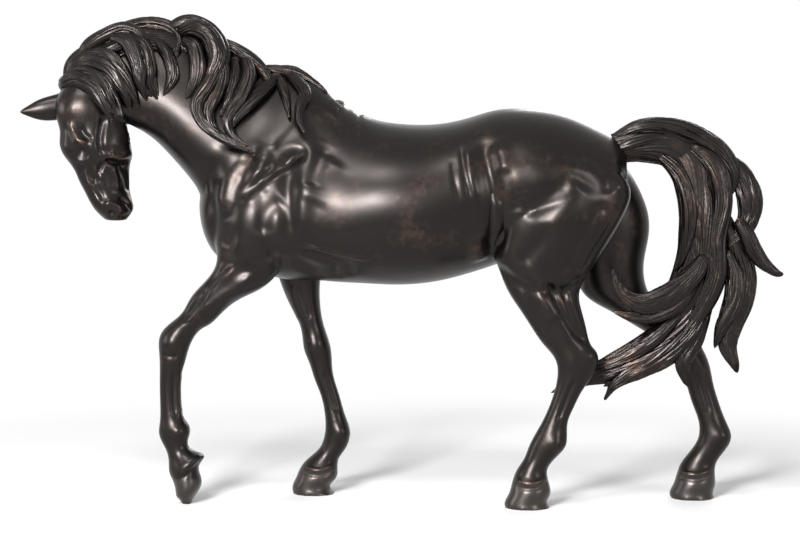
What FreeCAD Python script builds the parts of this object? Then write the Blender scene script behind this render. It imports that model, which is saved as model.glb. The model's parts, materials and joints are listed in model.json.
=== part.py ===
"""Walking horse statuette: a hollow bronze cast in sections and pinned together.

The figure faces -X with its left side towards -Y, and stands on z = 0.
Each limb, the trunk, the neck and the head is one smooth skin. A skin inset by the wall is
its hollow, and flat cuts part the skins into the castings. Inside each cut lies a sleeve
or a spigot, held by pins that stop under the chased surface.
"""
import FreeCAD, Part
import math
import os

from FreeCAD import Placement, Rotation, Vector

# ---------------------------------------------------------------- driving dimensions (mm)

DIMENSIONS = [
    # alias, value, what it is
    ("overall_length", 553.0, "ear tip to tail tip"),
    ("overall_height", 352.0, "sole to top of the mane"),
    ("overall_width", 107.0, "across the haunches"),
    ("wall", 4.5, "shell thickness of the hollow castings"),
    ("sleeve_wall", 3.0, "thickness of the sleeve inside a joint"),
    ("sleeve_reach", 8.0, "how far a sleeve runs to each side of its joint"),
    ("sleeve_clearance", 0.3, "gap from a sleeve or spigot to the shell around it"),
    ("spigot_length", 15.0, "how far a leg's spigot enters the body"),
    ("pin_diameter", 4.0, "pins through shell and sleeve"),
    ("leg_pin_diameter", 5.0, "cross pins through the spigots"),
    ("pin_clearance", 0.1, "gap all round a pin in its hole"),
    ("pin_cover", 1.5, "metal chased over the end of a pin"),
    ("dowel_diameter", 7.0, "dowel that carries the tail"),
    ("dowel_length", 34.0, "length of the tail dowel"),
    ("plug_diameter", 9.0, "plugs that close the core vents under the belly"),
    ("front_joint_x", -47.0, "cut between forequarter and barrel"),
    ("rear_joint_x", 58.0, "cut between barrel and hindquarter"),
]

# The stations below are measured on a pattern of this size; the three overall sizes
# stretch the pattern along x, z and y.
PATTERN_LENGTH = 553.0
PATTERN_HEIGHT = 352.0
PATTERN_WIDTH = 107.0

RING_POINTS = 16

doc = FreeCAD.newDocument("Statuette")
sheet = doc.addObject("Spreadsheet::Sheet", "Sizes")
for row, (alias, value, meaning) in enumerate(DIMENSIONS, start=1):
    sheet.set(f"A{row}", alias)
    sheet.set(f"B{row}", str(value))
    sheet.set(f"C{row}", meaning)
    sheet.setAlias(f"B{row}", alias)
doc.recompute()


def size(alias):
    """Return a driving dimension from the sheet."""
    return float(sheet.get(alias))


STRETCH = Vector(
    size("overall_length") / PATTERN_LENGTH,
    size("overall_width") / PATTERN_WIDTH,
    size("overall_height") / PATTERN_HEIGHT,
)
HOLLOW = size("wall")
SEAT = HOLLOW + size("sleeve_clearance")
BORE = SEAT + size("sleeve_wall")
COVER = size("pin_cover")


def place(point):
    """Move a pattern point to its place on the statuette."""
    return Vector(point.x * STRETCH.x, point.y * STRETCH.y, point.z * STRETCH.z)


# ---------------------------------------------------------------- skins: lofted sections


class Ring:
    """One section of a skin: a centre, two axes, two half sizes and an egg shape."""

    def __init__(self, centre, rise, side, half_rise, half_side, egg=0.0, seam=180.0):
        self.centre = centre
        self.rise = rise
        self.side = side
        self.half_rise = half_rise
        self.half_side = half_side
        self.egg = egg
        self.seam = math.radians(seam)

    def points(self):
        """Points round the section; a positive egg narrows the end that `rise` points to."""
        found = []
        for step in range(RING_POINTS):
            turn = self.seam + 2 * math.pi * step / RING_POINTS
            up = self.half_rise * math.cos(turn)
            out = self.half_side * math.sin(turn) * (1 - self.egg * math.cos(turn))
            found.append(place(self.centre + self.rise * up + self.side * out))
        return found

    def wire(self, inset, shift):
        """The section moved by `shift`, each point `inset` nearer to the centre."""
        middle = place(self.centre)
        moved = []
        for point in self.points():
            spoke = point - middle
            moved.append(middle + spoke * (1 - inset / spoke.Length) + shift)
        curve = Part.BSplineCurve()
        curve.interpolate(Points=moved, PeriodicFlag=True)
        return Part.Wire([curve.toShape()])


def profile_ring(x, y, z, tilt, half_rise, half_side, egg=0.0, seam=90.0):
    """A section square to the side view, its rise turned `tilt` degrees up from +x."""
    angle = math.radians(tilt)
    rise = Vector(math.cos(angle), 0, math.sin(angle))
    return Ring(Vector(x, y, z), rise, Vector(0, 1, 0), half_rise, half_side, egg, seam)


def skin_shape(rings, inset=0.0):
    """Loft the rings; an inset skin also draws its two ends in by the inset."""
    first = place(rings[0].centre)
    last = place(rings[-1].centre)
    axis = (last - first).normalize()
    run = (last - first).Length
    wires = []
    for ring in rings:
        along = (place(ring.centre) - first).dot(axis) / run
        wires.append(ring.wire(inset, axis * (inset * (1 - 2 * along))))
    return Part.makeLoft(wires, True, False)


# ---------------------------------------------------------------- document helpers


def feature(name, shape):
    """Keep a sculpted shape as an object of the document."""
    item = doc.addObject("Part::Feature", name)
    item.Shape = shape
    return item


def skin(name, rings, inset=0.0):
    """A skin of the figure, `inset` under its surface."""
    return feature(name, skin_shape(rings, inset))


def common(name, base, tool):
    item = doc.addObject("Part::Common", name)
    item.Base = base
    item.Tool = tool
    return item


def cut(name, base, tool):
    item = doc.addObject("Part::Cut", name)
    item.Base = base
    item.Tool = tool
    return item


def fuse(name, parts):
    item = doc.addObject("Part::MultiFuse", name)
    item.Shapes = parts
    return item


def group(name, parts):
    item = doc.addObject("Part::Compound", name)
    item.Links = parts
    return item


def half_space(name, point, direction):
    """A block larger than the figure, on the side of `point` that `direction` faces."""
    block = doc.addObject("Part::Box", name)
    for edge in ("Length", "Width", "Height"):
        block.setExpression(edge, "Sizes.overall_length * 2")
    turn = Rotation(Vector(0, 0, 1), direction)
    reach = size("overall_length")
    corner = point - turn.multVec(Vector(reach, reach, 0))
    block.Placement = Placement(corner, turn)
    return block


def slab(name, point, direction, before, after):
    """A plate across the figure, from `before` to `after` along `direction`."""
    plate = doc.addObject("Part::Box", name)
    plate.setExpression("Length", "Sizes.overall_length")
    plate.setExpression("Width", "Sizes.overall_length")
    plate.setExpression("Height", f"({before}) + ({after})")
    turn = Rotation(Vector(0, 0, 1), direction)
    half = size("overall_length") / 2
    back = sheet_value(before)
    corner = point - turn.multVec(Vector(half, half, back))
    plate.Placement = Placement(corner, turn)
    return plate


def sheet_value(expression):
    """The value of a single cell named as Sizes.alias, or of a plain number."""
    if expression.startswith("Sizes."):
        return size(expression.split(".")[1])
    return float(expression)


def rod(name, start, direction, diameter, length, clearance="0"):
    """A cylinder bound to the sheet that starts at `start` and runs along `direction`."""
    item = doc.addObject("Part::Cylinder", name)
    item.setExpression("Radius", f"{diameter} / 2 + {clearance}")
    item.setExpression("Height", length)
    item.Placement = Placement(start, Rotation(Vector(0, 0, 1), direction))
    return item


# ---------------------------------------------------------------- the pattern's stations

# x, top, bottom, half width, egg (a positive egg narrows the back)
TRUNK = [
    (-146, 223, 210, 9, 0.0),
    (-143, 235, 195, 20, 0.1),
    (-137, 251, 183, 30, 0.1),
    (-128, 270, 175, 36, 0.15),
    (-113, 287, 169, 41, 0.25),
    (-95, 299, 165, 43, 0.4),
    (-78, 307, 162, 44, 0.45),
    (-62, 305, 162, 45, 0.45),
    (-47, 296, 161, 47, 0.4),
    (-28, 283, 160, 50, 0.25),
    (0, 276, 159, 53, 0.1),
    (29, 276, 162, 53, 0.05),
    (52, 281, 168, 50, 0.0),
    (70, 286, 174, 48, 0.05),
    (90, 287, 181, 49, 0.05),
    (110, 285, 186, 49, 0.1),
    (130, 279, 193, 45, 0.15),
    (145, 272, 201, 39, 0.15),
    (156, 266, 212, 29, 0.1),
    (164, 256, 226, 16, 0.0),
]

# x, y, z, tilt, half depth, half width, egg
NECK = [
    (-84, 0, 238, 45, 52, 32, 0.3),
    (-109, 0, 264, 52, 58, 33, 0.4),
    (-125, -1, 275, 53, 48, 30, 0.45),
    (-146, -3, 290, 60, 43, 27, 0.45),
    (-166, -5, 301, 71, 39, 24, 0.4),
    (-187, -8, 306, 85, 34, 21, 0.35),
    (-206, -11, 306, 103, 29, 19, 0.3),
    (-220, -13, 299, 124, 22, 17, 0.2),
]

# z, x, y, half depth, half width, egg (a positive egg narrows the nose side)
HEAD = [
    (310, -222, -12, 12, 10, 0.0),
    (305, -223, -12, 20, 15, 0.0),
    (296, -223, -13, 26, 18, 0.0),
    (282, -222, -13, 29, 20, 0.05),
    (265, -220, -14, 28, 20, 0.1),
    (252, -219, -15, 25, 18, 0.15),
    (244, -217, -15, 21, 15, 0.15),
    (236, -215, -16, 19, 13, 0.1),
    (228, -213, -16, 17, 12, 0.05),
    (219, -209, -17, 16, 12, 0.0),
    (212, -207, -17, 13, 11, 0.0),
    (206, -206, -17, 7, 8, 0.0),
]
HEAD_TURN = 30.0

# x, y, z, tilt, half depth, half width
NEAR_FORE = [
    (-83, -17, 262, -18, 22, 13),
    (-92, -23, 240, -20, 34, 19),
    (-102, -25, 212, -22, 34, 21),
    (-108, -25, 187, -23, 27, 19),
    (-113, -24, 168, -23, 20, 16),
    (-126, -24, 156, -17, 16, 14),
    (-140, -24, 143, -16, 13, 12),
    (-152, -24, 131, -10, 12, 10),
    (-160, -24, 123, -3, 12.5, 10),
    (-163, -24, 114, -5, 11, 10),
    (-164, -24, 105, -4, 9.5, 9),
    (-165.5, -24, 94, 0, 8, 7),
    (-166, -24, 77, 0, 7.5, 6.5),
    (-165, -24, 63, 6, 8.5, 7.5),
    (-163, -24, 53, 10, 11.5, 9),
    (-162, -24, 44, 12, 9, 8),
    (-158, -24, 35, 20, 10, 9),
    (-154, -24, 25, 30, 13, 12),
    (-153, -24, 13, 33, 11, 12.5),
    (-154, -24, 4, 10, 5.5, 9),
    (-154, -24, 0, 0, 4, 7),
]
FAR_FORE = [
    (-84, 17, 262, -5, 22, 13),
    (-88, 23, 240, -5, 33, 19),
    (-84, 25, 212, 0, 32, 21),
    (-80, 25, 187, 0, 25, 18),
    (-77, 24, 167, 0, 17, 15),
    (-75, 24, 152, 0, 13.5, 12.5),
    (-72, 24, 140, 0, 11, 11),
    (-68, 24, 128, 0, 9, 9.5),
    (-65, 24, 117, 0, 9.5, 9.5),
    (-63, 24, 107, 0, 10, 9.5),
    (-61, 24, 98, 0, 8.5, 8),
    (-58.5, 24, 87, 0, 7.5, 7),
    (-54, 24, 74, 0, 7, 6.5),
    (-50.5, 24, 60, 0, 7.5, 7.5),
    (-48.5, 24, 45, 0, 9.5, 9),
    (-53, 24, 33, 0, 10, 8.5),
    (-60, 24, 25, 0, 12, 10),
    (-62.5, 24, 19, 0, 14, 12),
    (-65, 24, 11, 0, 15, 13.5),
    (-66, 24, 0, 0, 16, 14.5),
]
NEAR_HIND = [
    (116, -22, 254, 0, 34, 16),
    (118, -24, 238, 0, 43, 22),
    (116, -25, 214, 0, 47, 24),
    (108, -25, 190, 0, 42, 22),
    (106, -24, 174, 0, 34, 18),
    (105, -24, 156, 0, 25.5, 15.5),
    (110, -24, 143, 0, 22, 14),
    (116, -24, 130, 0, 19.5, 12.5),
    (122, -24, 118, 0, 17, 11),
    (129, -24, 107, 0, 15.5, 10),
    (128, -24, 97, 0, 13, 9),
    (123, -24, 85, 0, 10, 7.5),
    (118, -24, 73, 0, 9, 7),
    (113, -24, 61, 0, 9.5, 8),
    (108, -24, 45, 0, 13, 9.5),
    (102, -24, 35, 0, 11, 9),
    (97, -24, 27, 0, 11, 10),
    (96, -24, 19, 0, 13, 12),
    (95, -24, 9, 0, 15, 13.5),
    (94, -24, 0, 0, 16.5, 14.5),
]
FAR_HIND = [
    (124, 22, 254, 0, 32, 16),
    (130, 24, 236, 0, 40, 22),
    (140, 25, 210, 0, 41, 23),
    (146, 25, 190, 0, 35, 21),
    (151, 24, 172, 0, 27, 18),
    (159, 24, 150, 0, 24, 15.5),
    (175, 24, 138, 0, 21, 14),
    (192, 24, 126, 0, 17.5, 12),
    (208, 24, 112, 0, 13, 10),
    (216, 24, 98, 0, 11, 9),
    (220, 24, 84, 0, 10, 7.5),
    (224, 24, 71, 0, 10, 7.5),
    (228.5, 24, 59, 0, 10, 8),
    (231, 24, 45, 0, 12, 9.5),
    (225, 24, 34, 0, 12.5, 9),
    (219, 24, 25, 0, 13, 10),
    (217.5, 24, 18, 0, 14, 12),
    (216, 24, 9, 0, 15.5, 13.5),
    (215, 24, 0, 0, 16, 14.5),
]

# Where each leg leaves the body: the station it is cut at, counted from the top.
LEGS = {
    "near_fore_leg": (NEAR_FORE, 5),
    "far_fore_leg": (FAR_FORE, 5),
    "near_hind_leg": (NEAR_HIND, 5),
    "far_hind_leg": (FAR_HIND, 5),
}

# Locks of hair and ears: x, y, z, half height, half thickness, from root to tip.
MANE = {
    "mane_crest_front": [
        (-234, -12, 312, 6, 9),
        (-226, -12, 322, 13, 16),
        (-208, -11, 331, 13, 18),
        (-186, -9, 339, 13, 18),
        (-168, -7, 337, 11, 16),
        (-161, -7, 337, 4, 7),
    ],
    "mane_crest_rear": [
        (-166, -6, 333, 6, 9),
        (-150, -5, 333, 13, 16),
        (-132, -4, 322, 14, 16),
        (-112, -2, 309, 13, 14),
        (-94, -1, 301, 11, 12),
        (-72, 0, 301, 8, 9),
        (-52, 0, 297, 3, 3),
    ],
    "forelock": [
        (-243, -8, 307, 4, 5),
        (-243, -18, 304, 8, 7),
        (-233, -26, 307, 9, 8),
        (-219, -31, 305, 9, 8),
        (-208, -34, 294, 8, 7),
        (-203, -34, 279, 3, 3),
    ],
    "cheek_lock": [
        (-232, -18, 322, 5, 5),
        (-218, -24, 323, 9, 8),
        (-203, -28, 313, 10, 8),
        (-195, -29, 296, 9, 7),
        (-192, -27, 280, 3, 3),
    ],
    "poll_lock": [
        (-202, -18, 338, 5, 5),
        (-188, -22, 330, 9, 8),
        (-181, -25, 313, 9, 8),
        (-177, -26, 299, 7, 6),
        (-172, -25, 290, 2, 3),
    ],
    "loop_lock": [
        (-177, -16, 337, 4, 5),
        (-168, -20, 325, 8, 7),
        (-162, -24, 309, 8, 7),
        (-165, -24, 296, 3, 3),
    ],
    "crest_lock": [
        (-158, -14, 341, 4, 4),
        (-143, -17, 340, 8, 8),
        (-134, -19, 330, 9, 8),
        (-134, -23, 314, 8, 7),
        (-140, -25, 298, 2, 3),
    ],
    "long_lock": [
        (-128, -16, 326, 4, 4),
        (-132, -22, 312, 7, 7),
        (-135, -27, 296, 8, 8),
        (-131, -31, 281, 8, 7),
        (-118, -34, 266, 7, 6),
        (-102, -37, 254, 2, 2),
    ],
    "curled_lock": [
        (-113, -13, 318, 4, 4),
        (-112, -20, 304, 7, 7),
        (-118, -28, 288, 8, 7),
        (-120, -31, 275, 7, 6),
        (-113, -34, 261, 2, 3),
    ],
    "cross_lock": [
        (-90, -10, 306, 4, 4),
        (-98, -18, 296, 6, 6),
        (-107, -27, 283, 5, 5),
        (-115, -32, 271, 2, 2),
    ],
    "withers_lock": [
        (-80, -6, 309, 4, 5),
        (-79, -14, 298, 7, 7),
        (-75, -23, 286, 6, 6),
        (-70, -29, 277, 4, 4),
        (-64, -34, 269, 1.5, 2),
    ],
}
EARS = {
    "right_ear": [
        (-224, -10, 298, 5, 4),
        (-236, -12, 294, 9, 6),
        (-248, -15, 290, 8, 5),
        (-261, -19, 287, 5, 3.5),
        (-276, -23, 284.5, 1.2, 1),
    ],
    "left_ear": [
        (-218, -20, 302, 4, 4),
        (-211, -29, 298, 7, 5),
        (-203, -36, 291, 6, 4),
        (-196, -41, 281, 1.5, 1.5),
    ],
}
TAIL = {
    "tail_dock": [
        (140, 0, 250, 10, 10),
        (158, 0, 257, 12, 12),
        (176, 0, 262, 14, 12),
        (194, 0, 260, 17, 12),
        (206, 0, 252, 19, 12),
    ],
    "tail_fall": [
        (206, 0, 252, 19, 12),
        (214, 0, 238, 23, 13),
        (219, 0, 218, 22, 13),
        (220, 0, 192, 19, 13),
        (217, 0, 166, 20, 12),
        (208, 0, 142, 21, 11),
    ],
    "tail_back_lock": [
        (222, 2, 254, 6, 7),
        (236, 3, 238, 10, 9),
        (245, 3, 216, 11, 9),
        (246, 3, 186, 10, 9),
        (245, 3, 158, 10, 8),
        (239, 2, 132, 9, 7),
        (234, 0, 110, 6, 5),
        (232, -3, 94, 1.5, 2),
    ],
    "tail_flick": [
        (238, -4, 206, 6, 5),
        (250, -4, 192, 9, 6),
        (262, -4, 179, 7, 5),
        (275.5, -4, 167, 1.5, 1.5),
    ],
    "tail_curl": [
        (214, -12, 176, 6, 5),
        (203, -15, 160, 11, 7),
        (187, -17, 148, 11, 7),
        (170, -18, 147, 9, 6),
        (160, -18, 157, 6, 5),
        (155, -18, 171, 1.5, 2),
    ],
    "tail_sweep": [
        (215, 0, 160, 10, 6),
        (207, -1, 139, 17, 9),
        (195, -2, 124, 18, 9),
        (178, -2, 110, 16, 8),
        (156, -2, 99, 13, 7),
        (134, -1, 91, 8, 5),
        (110, 0, 81, 1.5, 2),
    ],
    "tail_under_lock": [
        (212, -3, 132, 8, 6),
        (208, -4, 116, 9, 6),
        (207, -5, 102, 6, 5),
        (209, -5, 88, 1.5, 2),
    ],
    "tail_tip": [
        (176, -6, 104, 8, 5),
        (163, -7, 93, 7, 4.5),
        (151, -7, 78, 1.5, 1.5),
    ],
}


def trunk_rings():
    rings = []
    for x, top, bottom, half_width, egg in TRUNK:
        centre = (top + bottom) / 2
        half = (top - bottom) / 2
        rings.append(profile_ring(x, 0, centre, 90, half, half_width, egg, seam=180))
    return rings


def head_rings():
    """The head's sections lie level, turned towards the left side of the horse."""
    angle = math.radians(HEAD_TURN)
    nose = Vector(-math.cos(angle), -math.sin(angle), 0)
    cheek = Vector(math.sin(angle), -math.cos(angle), 0)
    rings = []
    for z, x, y, half_depth, half_width, egg in HEAD:
        rings.append(Ring(Vector(x, y, z), nose, cheek, half_depth, half_width, egg, 45))
    return rings


def tube_rings(stations):
    return [profile_ring(*station) for station in stations]


def lock_rings(stations):
    """Sections across a lock of hair, each square to the run of the lock in side view."""
    rings = []
    last = len(stations) - 1
    for index, (x, y, z, half_height, half_thick) in enumerate(stations):
        before = stations[max(index - 1, 0)]
        after = stations[min(index + 1, last)]
        heading = math.degrees(math.atan2(after[2] - before[2], after[0] - before[0]))
        rings.append(profile_ring(x, y, z, heading + 90, half_height, half_thick))
    return rings


# ---------------------------------------------------------------- skins and hollows

trunk = trunk_rings()
neck = tube_rings(NECK)
head = head_rings()

trunk_skin = skin("trunk_skin", trunk)
trunk_hollow = skin("trunk_hollow", trunk, HOLLOW)
trunk_seat = skin("trunk_seat", trunk, SEAT)
trunk_bore = skin("trunk_bore", trunk[4:-3], BORE)
neck_skin = skin("neck_skin", neck)
neck_hollow = skin("neck_hollow", neck, HOLLOW)
neck_seat = skin("neck_seat", neck, SEAT)
neck_bore = skin("neck_bore", neck, BORE)
trunk_cover = skin("trunk_cover", trunk, COVER)
neck_cover = skin("neck_cover", neck, COVER)
head_skin = skin("head_skin", head)
head_hollow = skin("head_hollow", head, HOLLOW)

limb_skins = {}
limb_hollows = {}
limb_seats = {}
limb_covers = {}
leg_cuts = {}
leg_joints = {}
for node, (stations, station) in LEGS.items():
    rings = tube_rings(stations)
    joint = place(rings[station].centre)
    down = (place(rings[station + 1].centre) - place(rings[station - 1].centre)).normalize()
    limb_skins[node] = skin(node + "_skin", rings)
    limb_hollows[node] = skin(node + "_hollow", rings[:station + 3], HOLLOW)
    limb_seats[node] = skin(node + "_seat", rings[:station + 3], SEAT)
    limb_covers[node] = skin(node + "_cover", rings[:station + 3], COVER)
    leg_cuts[node] = half_space(node + "_below", joint, down)
    leg_joints[node] = (joint, down)

# ---------------------------------------------------------------- cuts between the castings

ALONG = Vector(1, 0, 0)


def trunk_cut_point(alias):
    """A point on the trunk's axis at one of the two body joints."""
    middle = place(Vector(0, 0, (TRUNK[9][1] + TRUNK[9][2]) / 2))
    return Vector(size(alias), 0, middle.z)


def ring_heading(rings, index):
    ahead = place(rings[index + 1].centre)
    behind = place(rings[index - 1].centre)
    return (ahead - behind).normalize()


front_point = trunk_cut_point("front_joint_x")
rear_point = trunk_cut_point("rear_joint_x")
NECK_JOINT = 2
POLL_JOINT = 6
neck_point = place(neck[NECK_JOINT].centre)
neck_heading = ring_heading(neck, NECK_JOINT)
poll_point = place(neck[POLL_JOINT].centre)
poll_heading = ring_heading(neck, POLL_JOINT)

ahead_of_front = half_space("ahead_of_front", front_point, -ALONG)
behind_rear = half_space("behind_rear", rear_point, ALONG)
beyond_neck = half_space("beyond_neck", neck_point, neck_heading)
beyond_poll = half_space("beyond_poll", poll_point, poll_heading)

# ---------------------------------------------------------------- outer shapes and hollows

fore_legs = ("near_fore_leg", "far_fore_leg")
hind_legs = ("near_hind_leg", "far_hind_leg")


def stubs(legs, kind, skins):
    """The part of each limb above its cut."""
    return [cut(f"{leg}_{kind}_stub", skins[leg], leg_cuts[leg]) for leg in legs]


front_trunk = common("front_trunk", trunk_skin, ahead_of_front)
neck_root = cut("neck_root", neck_skin, beyond_neck)
fore_outer = fuse(
    "fore_outer", [front_trunk, neck_root] + stubs(fore_legs, "outer", limb_skins))
fore_inner = fuse(
    "fore_inner", [trunk_hollow, neck_hollow] + [limb_hollows[leg] for leg in fore_legs])
fore_shell = cut("fore_shell", fore_outer, fore_inner)

rear_trunk = common("rear_trunk", trunk_skin, behind_rear)
hind_outer = fuse("hind_outer", [rear_trunk] + stubs(hind_legs, "outer", limb_skins))
hind_inner = fuse("hind_inner", [trunk_hollow] + [limb_hollows[leg] for leg in hind_legs])
hind_shell = cut("hind_shell", hind_outer, hind_inner)

barrel_ahead = cut("barrel_ahead", trunk_skin, ahead_of_front)
barrel_outer = cut("barrel_outer", barrel_ahead, behind_rear)
barrel_shell = cut("barrel_shell", barrel_outer, trunk_hollow)

neck_beyond = common("neck_beyond", neck_skin, beyond_neck)
neck_outer = cut("neck_outer", neck_beyond, beyond_poll)
neck_shell = cut("neck_shell", neck_outer, neck_hollow)

poll_stub = common("poll_stub", neck_skin, beyond_poll)
head_beyond = common("head_beyond", head_skin, beyond_poll)
head_outer = fuse("head_outer", [poll_stub, head_beyond])
head_inner = fuse("head_inner", [neck_hollow, head_hollow])
head_shell = cut("head_shell", head_outer, head_inner)

# ---------------------------------------------------------------- sleeves and their pins


def sleeve(name, point, heading, seat, bore):
    """A band that lines a joint, `sleeve_reach` to each side of the cut."""
    plate = slab(name + "_plate", point, heading, "Sizes.sleeve_reach", "Sizes.sleeve_reach")
    return cut(name + "_band", common(name + "_disc", seat, plate), bore)


def joint_pins(name, point, towards, count, inner, cover, bore):
    """Pins round a sleeve, in the casting on the `towards` side of the cut, and their holes."""
    across = Vector(0, 1, 0)
    upright = towards.cross(across).normalize()
    pins = []
    holes = []
    for index in range(count):
        angle = 2 * math.pi * (index + 0.5) / count
        outward = across * math.cos(angle) + upright * math.sin(angle)
        start = point + towards * (size("sleeve_reach") / 2) + outward * inner
        run = (start, outward, "Sizes.pin_diameter", "Sizes.overall_width")
        pins.append(rod(f"{name}_{index}", *run))
        holes.append(rod(f"{name}_hole_{index}", *run, "Sizes.pin_clearance"))
    covered = common(name + "_covered", group(name + "_rods", pins), cover)
    hollow = common(name + "_holes", group(name + "_hole_rods", holes), cover)
    return cut(name, covered, bore), hollow


front_band = sleeve("front_sleeve", front_point, ALONG, trunk_seat, trunk_bore)
rear_band = sleeve("rear_sleeve", rear_point, ALONG, trunk_seat, trunk_bore)
neck_band = sleeve("neck_sleeve", neck_point, neck_heading, neck_seat, neck_bore)
poll_band = sleeve("poll_sleeve", poll_point, poll_heading, neck_seat, neck_bore)

TRUNK_PIN_START = 20.0
NECK_PIN_START = 7.0
front_pins, front_holes = joint_pins(
    "front_joint_pins", front_point, ALONG, 6, TRUNK_PIN_START, trunk_cover, trunk_bore)
rear_pins, rear_holes = joint_pins(
    "rear_joint_pins", rear_point, -ALONG, 6, TRUNK_PIN_START, trunk_cover, trunk_bore)
neck_pins, neck_holes = joint_pins(
    "neck_joint_pins", neck_point, neck_heading, 4, NECK_PIN_START, neck_cover, neck_bore)
poll_pins, poll_holes = joint_pins(
    "poll_joint_pins", poll_point, -poll_heading, 4, NECK_PIN_START, neck_cover, neck_bore)

nodes = {
    "front_joint_sleeve": cut("front_sleeve", front_band, front_holes),
    "rear_joint_sleeve": cut("rear_sleeve", rear_band, rear_holes),
    "neck_joint_sleeve": cut("neck_sleeve", neck_band, neck_holes),
    "poll_joint_sleeve": cut("poll_sleeve", poll_band, poll_holes),
    "front_joint_pins": front_pins,
    "rear_joint_pins": rear_pins,
    "neck_joint_pins": neck_pins,
    "poll_joint_pins": poll_pins,
}

# ---------------------------------------------------------------- legs, spigots, cross pins

cross_holes = {}
for leg, (joint, down) in leg_joints.items():
    lower = common(leg + "_lower", limb_skins[leg], leg_cuts[leg])
    plate = slab(leg + "_plate", joint, down, "Sizes.spigot_length", "0")
    spigot = common(leg + "_spigot", limb_seats[leg], plate)
    casting = fuse(leg + "_casting", [lower, spigot])
    middle = joint - down * (size("spigot_length") / 2)
    near_end = middle - Vector(0, size("overall_width") / 4, 0)
    ends = (near_end, Vector(0, 1, 0), "Sizes.leg_pin_diameter", "Sizes.overall_width / 2")
    pin_rod = rod(leg + "_pin_rod", *ends)
    hole_rod = rod(leg + "_hole_rod", *ends, "Sizes.pin_clearance")
    nodes[leg + "_pin"] = common(leg + "_pin", pin_rod, limb_covers[leg])
    cross_holes[leg] = common(leg + "_hole", hole_rod, limb_covers[leg])
    nodes[leg] = cut(leg, casting, cross_holes[leg])

# ---------------------------------------------------------------- tail dowel and core plugs

dock = lock_rings(TAIL["tail_dock"])
dock_start = place(dock[0].centre)
dock_heading = (place(dock[2].centre) - dock_start).normalize()
dowel_run = (dock_start, dock_heading, "Sizes.dowel_diameter", "Sizes.dowel_length")
nodes["tail_dowel"] = rod("tail_dowel", *dowel_run)
dowel_hole = rod("dowel_hole", *dowel_run, "Sizes.pin_clearance")

PLUG_PLACES = (-20.0, 30.0)
plug_rods = []
plug_holes = []
for index, x in enumerate(PLUG_PLACES):
    down_run = (place(Vector(x, 0, TRUNK[10][2] + 40)), Vector(0, 0, -1),
                "Sizes.plug_diameter", "Sizes.overall_width")
    plug_rods.append(rod(f"plug_rod_{index}", *down_run))
    plug_holes.append(rod(f"plug_hole_{index}", *down_run, "Sizes.pin_clearance"))
nodes["core_plugs"] = common("core_plugs", group("plug_rods", plug_rods), barrel_shell)

# ---------------------------------------------------------------- the hollow castings


def drilled(name, shell, holes):
    """Cut each set of holes out of a casting in turn."""
    for index, hole in enumerate(holes):
        shell = cut(f"{name}_drilled_{index}", shell, hole)
    return shell


nodes["forequarter"] = drilled(
    "forequarter", fore_shell, [cross_holes["near_fore_leg"], cross_holes["far_fore_leg"]])
nodes["hindquarter"] = drilled(
    "hindquarter", hind_shell,
    [dowel_hole, cross_holes["near_hind_leg"], cross_holes["far_hind_leg"]])
nodes["barrel"] = drilled(
    "barrel", barrel_shell, [front_holes, rear_holes, group("plug_holes", plug_holes)])
nodes["neck"] = drilled("neck", neck_shell, [neck_holes, poll_holes])
nodes["head"] = head_shell

# ---------------------------------------------------------------- ears, mane and tail


def near(one, other):
    """True where the boxes of two objects meet."""
    return one.Shape.BoundBox.intersect(other.Shape.BoundBox)


def seated(name, body, carriers):
    """Trim a solid where it lies on its carriers, so that it seats face to face."""
    for index, carrier in enumerate(carriers):
        if near(body, carrier):
            body = cut(f"{name}_seat_{index}", body, carrier)
            body.Refine = False
            doc.recompute()
    return body


def lay_hair(table, carriers):
    """Lay the locks one after another, each trimmed by what lies under it."""
    laid = list(carriers)
    for name, stations in table.items():
        body = skin(name + "_body", lock_rings(stations))
        nodes[name] = seated(name, body, laid)
        laid.append(body)


doc.recompute()
lay_hair(EARS | MANE, [trunk_skin, neck_skin, head_skin])
lay_hair(TAIL, [trunk_skin, limb_skins["far_hind_leg"]])
nodes["tail_dock"] = cut("tail_dock_drilled", nodes["tail_dock"], dowel_hole)
doc.recompute()

# ---------------------------------------------------------------- checks and export

for item in doc.Objects:
    if "Invalid" in item.State or "Error" in item.State:
        raise RuntimeError(f"{item.Name} failed: {item.State}")
for node, item in nodes.items():
    item.Label = node
    if item.Shape.isNull() or not item.Shape.isValid() or not item.Shape.Solids:
        raise RuntimeError(f"{node} has no sound solid")

os.makedirs("parts", exist_ok=True)
for node, item in nodes.items():
    item.Shape.exportStep(f"parts/{node}.step")
    print(node, len(item.Shape.Solids), round(item.Shape.Volume / 1000, 2))
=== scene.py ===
"""Looks of the walking horse statuette: sculpted bronze castings, hair, patina and stage."""
import json
import math

import bmesh
import bpy
import numpy as np
from bpy.props import FloatProperty, FloatVectorProperty, IntProperty, PointerProperty
from mathutils import Matrix, Vector
from mathutils.bvhtree import BVHTree

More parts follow.
